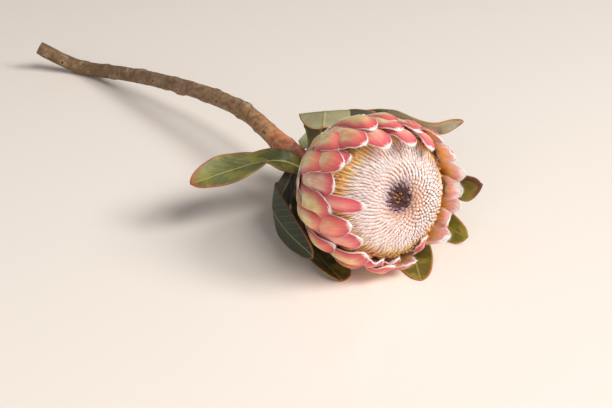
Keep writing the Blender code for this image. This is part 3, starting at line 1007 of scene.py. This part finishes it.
# %% [markdown]
# ## The stem
#
# The stem is a rolled grid swept along its line. What makes it wood is the relief: leaf
# scars wind round it every centimetre or so, each a low swelling with a sunken eye, and
# shallow cracks run along it. Both are real shape here, because they show at the outline.
# Under the head the bark is still young and pink; further back it is grey brown.

# %% Bark relief
KNOBS = (  # distance behind the neck, degrees round, size, rise
    (62, 195, 5.46, 2.2), (118, 20, 5.2, 2.0), (205, 200, 4.94, 2.0), (52, 255, 6.0, 2.2),
    (74, 300, 4.5, 1.4),
)
scar_chance = np.random.default_rng(3)
scars = [(along, math.radians(around), size, rise) for along, around, size, rise in KNOBS]
place_on_stem = 50.0
turn = 0.6
while place_on_stem < STEM_LENGTH - 8:
    size = scar_chance.uniform(3.2, 4.6)
    scars.append((place_on_stem, turn % math.tau, size, scar_chance.uniform(0.6, 1.25)))
    place_on_stem += scar_chance.uniform(6.5, 13)
    turn += GOLDEN_TURN + scar_chance.normal(0, 0.2)


def bark_relief(distance, angle, radius):
    """How far the bark stands out here, and how much of a scar's eye this is."""
    rise, eye = 0.0, 0.0
    for along, around, size, height in scars:
        ahead = distance - along
        if abs(ahead) > 3 * size:
            continue
        beside = ((angle - around + math.pi) % math.tau - math.pi) * radius
        # a swelling that is steep on the side of the head, with a sunken eye
        stretched = ahead / (size * (0.75 if ahead < 0 else 1.3))
        away = stretched ** 2 + (beside / size) ** 2
        rise += height * math.exp(-away)
        centre = math.exp(-away * 7)
        rise -= 0.45 * height * centre
        eye = max(eye, centre)
    ring = Vector((math.cos(angle), math.sin(angle), 0)) * radius
    coarse = noise.noise(ring * 0.3 + Vector((0, 0, distance * 0.045)))
    cracks = noise.noise(ring * 0.9 + Vector((7, 0, distance * 0.09)))
    fine = noise.noise(ring * 1.6 + Vector((0, 9, distance * 0.5)))
    age = min(distance / 60, 1)
    return rise + 0.55 * coarse + age * (0.4 * cracks + 0.14 * fine), eye


STEM_MARKS = ("along", "eye", "cut")
END_ROWS = 4  # rows that close the cut end
STEM_COLUMNS, STEM_ROWS = 48, 330


def stem_place(across, up):
    row = up * STEM_ROWS
    last = STEM_ROWS - END_ROWS
    distance = min(max(row - 1, 0) / (last - 1), 1) * STEM_LENGTH
    centre, radius, direction = stem_at(distance)
    angle = math.pi * across
    first = (Vector((0, 0, 1)) - direction * direction.z).normalized()
    second = direction.cross(first)
    relief, eye = bark_relief(distance, angle, radius)
    bare = 0.0
    if row < 0.5:  # the first row closes the tube at the neck
        reach = 0
    elif row <= last + 0.5:
        reach = radius + relief
    else:
        inward = (row - last) / END_ROWS
        reach = (radius + relief) * (1 - inward) ** 0.6
        centre = centre + direction * 0.35 * math.sin(inward * math.pi / 2)
        bare = 1.0
    outward = first * math.cos(angle) + second * math.sin(angle)
    return centre + outward * reach, (distance, eye, bare)


bark, tree, shader = new_material("bark", Roughness=0.72, Specular_IOR_Level=0.3)
along, eye, cut = (mark_value(tree, mark) for mark in STEM_MARKS)
drift = calculate(tree, "MULTIPLY_ADD", grain(tree, 60, 4), 50.0, -25.0)
where = calculate(tree, "DIVIDE", calculate(tree, "ADD", along, drift), STEM_LENGTH)
skin = ramp(tree, where, (
    (0.0, "F4A490"), (0.08, "EA8E72"), (0.13, "CC8058"), (0.19, "BC8860"), (0.3, "947250"),
    (0.5, "8A6E54"), (0.75, "7D6249"), (1.0, "75583A"),
))
lichen = between(tree, grain(tree, 130, 5), 0.5, 0.68, 0.0, 0.55)
dirt = between(tree, grain(tree, 210, 6), 0.62, 0.34, 0.0, 0.5)
rim = calculate(tree, "MULTIPLY", between(tree, eye, 0.03, 0.2), between(tree, eye, 0.5, 0.25))
wood = mixed(tree, between(tree, grain(tree, 400), 0.3, 0.7), "8A7A63", "B5A184")
skin = coated(
    tree, skin, (lichen, "9B8F74"), (dirt, "4A3220"),
    (between(tree, eye, 0.35, 0.9, 0.0, 0.75), "3B2517"),
    (calculate(tree, "MULTIPLY", rim, 0.5), "B99673"), (cut, wood),
)
finish_material(tree, shader, skin, grain(tree, 650, 6), 0.35)

stem_sheet = closed(bent_grid(STEM_COLUMNS, STEM_ROWS, stem_place, STEM_MARKS))
print("stem tube:", len(stem_sheet.faces), "faces,", len(scars), "scars")

# %% Add the side shoot's bud
bud_base, bud_out = bark_point(11, 248)
bud_turn = bud_out.to_track_quat("Z", "Y").to_matrix()
BUD_RADIUS, BUD_LENGTH, BUD_LAYERS = 5.2, 12.0, 4
BUD_SUNK = 4  # how deep it starts in the bark
BUD_ALONG = 30.0  # it takes the bark's colour from there


def bud_place(across, up):
    angle = math.pi * across
    layer = up * BUD_LAYERS + 0.25 * math.sin(2 * angle)
    lap = 1 - layer % 1
    body = math.sqrt(max(1 - max(up - 0.25, 0) ** 2 / 0.75 ** 2, 0)) if 0 < up < 1 else 0
    reach = (BUD_RADIUS - 0.8 + 0.9 * lap * (1 - up)) * body
    rise = BUD_LENGTH * up - BUD_SUNK
    point = Vector((reach * math.cos(angle), reach * math.sin(angle), rise))
    return bud_base + bud_turn @ point, (BUD_ALONG, 0.35 * (lap < 0.2), 0.0)


bud = closed(bent_grid(28, 26, bud_place, STEM_MARKS))
stem_piece = make_object("stem_grown", stem_sheet, (bark,))
bud_piece = make_object("bud", bud, (bark,))
join_into(stem_piece, [bud_piece])
settle(stem_piece, "stem_bark", "stem")

# %% [markdown]
# ## The leaves
#
# A protea leaf is thick and leathery, with a pale midrib, fine side veins and a margin that
# dries ochre or red. Each leaf is a grid swept along its own line, folded a little at the
# midrib, with a slow wave along its margins. The material reads millimetres from the
# midrib, from the base and from the margin, so veins run the right way on every leaf.

# %% Paint for leaves
LEAF_MARKS = ("x", "along", "edge", "dry")


def leaf_face(name, near, far, rib, rim, dead, mottle, roughness=0.42):
    """Green from near to far along the leaf, with a rib, a rim and dead parts."""
    material, tree, shader = new_material(name, Roughness=roughness, Specular_IOR_Level=0.4)
    x, along, edge, dryness = (mark_value(tree, mark) for mark in LEAF_MARKS)
    beside = calculate(tree, "ABSOLUTE", x)
    cloud = grain(tree, 45, 4)
    speckle = grain(tree, 380, 4)
    length = calculate(tree, "DIVIDE", along, 90.0)
    skin = mixed(tree, between(tree, length, 0.2, 1.0), near, far)
    skin = mixed(
        tree, between(tree, cloud, 0.4, 0.7, 0.0, 0.35), skin, "3F4A2A", "MULTIPLY"
    )
    wander = calculate(tree, "MULTIPLY", cloud, 5.0)
    phase = calculate(tree, "MULTIPLY_ADD", beside, -1.15, calculate(tree, "MULTIPLY", along, 0.95))
    wave = calculate(tree, "SINE", calculate(tree, "ADD", phase, wander))
    veins = between(tree, wave, 0.8, 1.0)
    line = between(tree, beside, 0.95, 0.35)
    thinning = between(tree, length, 0.1, 1.0, 0.85, 0.35)
    worn = calculate(tree, "SUBTRACT", edge, calculate(tree, "MULTIPLY", cloud, 1.2))
    rusty = between(tree, dryness, 0.0, 0.4, 0.18, 0.9)
    yellowed = between(tree, grain(tree, 75, 5), 0.47, 0.6, 0.0, mottle)
    blotch = calculate(tree, "MULTIPLY_ADD", grain(tree, 120, 5), 0.9, -0.45)
    browned = between(tree, calculate(tree, "ADD", dryness, blotch), 0.35, 0.8)
    spots = between(tree, grain(tree, 330, 2), 0.69, 0.74)
    spots = calculate(tree, "MULTIPLY", spots, between(tree, dryness, 0.05, 0.5, 0.15, 0.9))
    skin = coated(
        tree, skin, (calculate(tree, "MULTIPLY", veins, 0.1), rib),
        (calculate(tree, "MULTIPLY", line, thinning), rib),
        (calculate(tree, "MULTIPLY", between(tree, worn, 1.0, -0.3), rusty), rim),
        (calculate(tree, "MULTIPLY", between(tree, worn, -0.1, -0.5), rusty), "9C4A2A"),
        (yellowed, "A4963A"), (browned, dead), (spots, "5B2A14"),
    )
    height = calculate(tree, "MULTIPLY_ADD", veins, 0.8, speckle)
    height = calculate(tree, "MULTIPLY_ADD", line, 1.6, height)
    finish_material(tree, shader, skin, height, 0.18)
    return material


# %% Where each leaf grows and how it is coloured
# Its seat is along millimetres behind the neck and around degrees round the stem, and fold,
# and roll at each point of its route, are in degrees. It is dry at the tip, and may be so
# along one edge or down one half, which may also curl in.
# Near and far are a leaf's greens at its base and at its tip. They are its own green with the light
# or shade where it lies painted in: painted shade darkens the dark leaves and the bases of some,
# and painted light brightens the pale ones.
PLAIN_LEAF = dict(dead="8F5B2B", rim="C88A3C", curl=0, dry_edge=0, dry_half=0)
LEAVES = {
    # left_leaf's darker near green is partly painted shade on its base, which turns away from the
    # light
    "left_leaf": dict(
        along=19, around=288, width=30, fold=12, widest=0.65, ripple=1.6, tip_dry=0.8,
        route=((-22, 17, 41), (-38, 22, 42), (-66, 20, 42), (-93, 19, 40)),
        roll=(0, 50, 100, 78, 65), near="4E5230", far="686A40", mottle=0.3, dead="9A5A2E",
        rim="B4503C", dry_edge=0.42,
    ),
    # upper_left_leaf's dark near green is partly painted shade on the rising part under its bent
    # tip, and its pale far green is partly painted light on the top
    "upper_left_leaf": dict(
        along=14, around=5, width=36, fold=8, widest=0.8, ripple=1.2, tip_dry=0.3,
        route=((5, 14, 51), (8, 16, 64), (7, 10, 76), (-5, -9, 74)),
        near="76744C", far="B6AC8A", mottle=0.1,
    ),
    # upper_leaf's dark greens are partly painted shade on its shaded face
    "upper_leaf": dict(
        along=26, around=20, width=24, fold=8, widest=0.85, ripple=0.8, tip_dry=0.2,
        route=((14, 30, 48), (25, 27, 58), (36, 11, 66), (37, -12, 77)),
        near="5E6444", far="84886E", mottle=0.1,
    ),
    # upper_right_leaf's very pale greens are partly painted light, brightened to make up for the
    # head's shadow on it
    "upper_right_leaf": dict(
        along=40, around=45, width=28, fold=8, widest=0.6, ripple=1.0, tip_dry=0.8,
        route=((21, 42, 44), (39, 38, 47), (49, 6, 60), (50, -28, 75), (60, -52, 78),
               (80, -53, 77)),
        roll=(0, 0, 0, -4, -4, 22, 48), near="B4C09A", far="CCCCA8", mottle=0.1,
    ),
    "right_leaf": dict(
        along=12, around=85, width=30, fold=14, widest=0.85, ripple=2.6, tip_dry=0.9,
        route=((30, 2, 35), (52, -24, 41), (64, -52, 44), (69, -72, 45), (76, -84, 44)),
        near="56602C", far="6E6A2C", mottle=0.4, dead="6A4024",
        curl=0.7, dry_half=1.5,
    ),
    "lower_right_leaf": dict(
        along=24, around=115, width=34, fold=10, widest=0.6, ripple=1.2, tip_dry=0.5,
        route=((26, 6, 20), (46, -24, 12), (56, -56, 9), (66, -86, 7)),
        near="4A5A20", far="6F7424", mottle=0.9,
    ),
    "front_right_leaf": dict(
        along=12, around=145, width=30, fold=6, widest=0.7, ripple=0.8, tip_dry=0.5,
        route=((15, -4, 12), (30, -38, 1), (27, -74, 0), (13, -108, 0)),
        roll=(0, -15, -25, -22, -22), near="3C461E", far="665F2A", mottle=0.5,
    ),
    # lower_left_leaf's near-black greens are mostly painted shade from the head beside it
    "lower_left_leaf": dict(
        along=30, around=228, width=34, fold=10, widest=0.6, ripple=1.0, tip_dry=0.2,
        route=((-29, 8, 20), (-44, -8, 22), (-49, -38, 20), (-45, -68, 15)),
        roll=(0, 0, -10, -12, -10), near="252E24", far="2E3826", mottle=0.0,
    ),
    # front_left_leaf's dark greens are partly painted shade under the head
    "front_left_leaf": dict(
        along=46, around=200, width=24, fold=8, widest=0.85, ripple=0.8, tip_dry=0.3,
        route=((-15, 8, 4), (-28, -24, 0), (-31, -54, 0), (-32, -84, 0)),
        roll=(0, 20, 28, 28, 28), near="323A20", far="524C26", mottle=0.5,
    ),
}
LEAF_WALL = 0.9
LEAF_COLUMNS, LEAF_ROWS = 24, 64
DRY_FROM = 0.72  # the share of a leaf's length where its dry tip starts


def leaf_width(up, widest):
    """Width beside the widest part: a short narrow base and a round tip."""
    if up < widest:
        return 0.3 + 0.7 * math.sin(up / widest * math.pi / 2) ** 1.3
    return max(0, math.cos((up - widest) / (1 - widest) * math.pi / 2)) ** 0.6


def make_leaf(name, leaf):
    base, outward = bark_point(leaf["along"], leaf["around"])
    route = [base + outward * 0.2] + [Vector(point) + SHIFT for point in leaf["route"]]
    spans = len(route) - 1
    rolls = leaf.get("roll", (0,) * len(route))
    length = sum((end - start).length for start, end in zip(route, route[1:]))
    seed = len(name) * 3.1 + leaf["around"]

    def blade_frame(up):
        position = up * spans
        centre = smooth_point(route, position)
        ahead = smooth_point(route, min(position + 0.02, spans))
        behind = smooth_point(route, max(position - 0.02, 0))
        direction = (ahead - behind).normalized()
        radial = Vector((centre.x - neck.x, 0, centre.z - neck.z)).normalized()
        radial = outward.lerp(radial, min(position, 1))
        beside = Vector((radial.z, 0, -radial.x))
        beside = (beside - direction * beside.dot(direction)).normalized()
        roll = float(np.interp(position, range(len(route)), rolls))
        beside = Matrix.Rotation(math.radians(roll), 3, direction) @ beside
        return centre, beside, beside.cross(direction)

    def place(across, up):
        up = 1 - (1 - up) ** 1.25
        centre, beside, normal = blade_frame(up)
        half = leaf["width"] / 2 * leaf_width(up, leaf["widest"])
        fold = math.radians(leaf["fold"]) * min(up * 4, 1)
        point = centre + beside * half * across * math.cos(fold)
        lift = half * abs(across) ** 1.5 * math.sin(fold)
        # a slow wave along each margin, which sets in above the base
        free = min(up * 3, 1)
        wave = noise.noise(Vector((up * 3.2 + (2 if across > 0 else 0), seed, 0)))
        lift += leaf["ripple"] * free * (across ** 2) * 1.8 * wave
        # the midrib's groove, shallower towards the tip, and a slight unevenness
        lift -= 0.45 * math.exp(-(across * half / 0.9) ** 2) * (1 - 0.6 * up)
        lift += 0.25 * noise.noise(Vector((across * half * 0.12, up * length * 0.12, seed)))
        # one half curls up and in
        curled = leaf["curl"] * max(-across, 0) * min(up * 1.5, 1)
        lift += half * math.sin(curled) * 0.6
        point -= beside * half * across * (1 - math.cos(curled)) * 0.5
        point += normal * lift
        point.z = max(point.z, LEAF_WALL / 2)
        edge = half * (1 - abs(across))
        edge = min(edge, (1 - up) * length * 0.8)
        dry = leaf["tip_dry"] * max(0, (up - DRY_FROM) / (1 - DRY_FROM)) ** 1.5
        dry = max(dry, leaf["dry_edge"] * max(across, 0) ** 6 * min(up * 2, 1))
        dry = max(dry, leaf["dry_half"] * min(max(0.25 - across, 0) * 2.4, 1) * up)
        return point, (half * across, up * length, edge, dry)

    # the near and far greens carry painted light and shade as well as the leaf's own green
    greens_with_light_and_shade, mottle = (leaf["near"], leaf["far"]), leaf["mottle"]
    faces = (
        leaf_face(f"{name}_upper", *greens_with_light_and_shade, "C2B25E", leaf["rim"], leaf["dead"], mottle),
        leaf_face(f"{name}_under", *greens_with_light_and_shade, "B5AC6A", "B9733A", "85552C", mottle / 2, 0.5),
    )
    sheet = merged(bent_grid(LEAF_COLUMNS, LEAF_ROWS, place, LEAF_MARKS))
    return walled(make_object(name + "_grown", sheet, faces), LEAF_WALL)


for name, leaf in LEAVES.items():
    leaf_piece = make_leaf(name, {**PLAIN_LEAF, **leaf})
    settle(leaf_piece, "leaf_green", name)
    low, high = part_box(name)
    corners = np.array([vertex.co[:] for vertex in leaf_piece.data.vertices])
    gaps = np.abs([corners.min(axis=0) - low, corners.max(axis=0) - high]).max(axis=0)
    print(name, "differs from its CAD box by at most", (gaps / MM).round(1), "mm")

# %% [markdown]
# ## Floor, light and camera
#
# The flower lies on a pale, faintly glossy tabletop. Three soft square lights face the head:
# a window to the right, a lamp higher up and straight ahead, and a wide, low one on the
# camera's side that does what a pale wall would. The room fills in the rest. The camera
# looks down on the head from the left, with no depth of field.

# %% Set the stage
FLOOR_HALF = 2.2
floor_sheet = bmesh.new()
bmesh.ops.create_grid(floor_sheet, x_segments=1, y_segments=1, size=FLOOR_HALF / MM)
floor_material, tree, shader = new_material("tabletop", Roughness=0.16, Specular_IOR_Level=0.35)
finish_material(
    tree, shader, mixed(tree, grain(tree, 0.8, 1), "EAE0D7", "EEE4DA")
)
floor = make_object("floor", floor_sheet, (floor_material,))

room = bpy.data.worlds.new("pale_room")
bpy.context.scene.world = room
room.use_nodes = True
walls = room.node_tree.nodes["Background"]
walls.inputs["Color"].default_value = (1.0, 0.99, 0.98, 1)
walls.inputs["Strength"].default_value = 0.2

CAMERA_AT = neck * MM + Vector((-0.3657, -0.6399, 0.3858))
LOOKS_AT = neck * MM + Vector((-0.0048, 0.0196, -0.0309))
LENS = 68.8
HEAD_MIDDLE = (neck + axis * 60) * MM
LIGHTS_AWAY = 3.6


def soft_light(name, direction, elevation, size, power, colour):
    """A square light that shines at the flower head from this side."""
    lamp = bpy.data.lights.new(name, "AREA")
    lamp.size = size
    lamp.energy = power
    lamp.color = colour
    item = bpy.data.objects.new(name, lamp)
    flat = Vector((direction[0], direction[1], 0)).normalized()
    tilt = math.radians(elevation)
    aim = flat * math.cos(tilt) + Vector((0, 0, math.sin(tilt)))
    item.location = HEAD_MIDDLE + aim * LIGHTS_AWAY
    item.rotation_euler = aim.to_track_quat("Z", "Y").to_euler()
    bpy.context.scene.collection.objects.link(item)


soft_light("window", (0.74, -0.67), 39, 1.3, 98, (1.0, 0.99, 0.97))
soft_light("lamp", (0.3, -0.95), 52, 1.6, 74, (1.0, 0.99, 0.98))
soft_light("pale_wall", (-0.65, -0.76), 14, 2.6, 62, (1.0, 0.98, 0.96))

camera = bpy.data.objects.new("camera", bpy.data.cameras.new("camera"))
camera.data.lens = LENS
camera.data.sensor_width = 36
camera.data.clip_start = 0.01
camera.location = CAMERA_AT
camera.rotation_euler = (CAMERA_AT - LOOKS_AT).to_track_quat("Z", "Y").to_euler()
bpy.context.scene.collection.objects.link(camera)
bpy.context.scene.camera = camera
bpy.context.scene.view_settings.view_transform = "Standard"
print("camera is", round((CAMERA_AT - LOOKS_AT).length, 3), "m away")
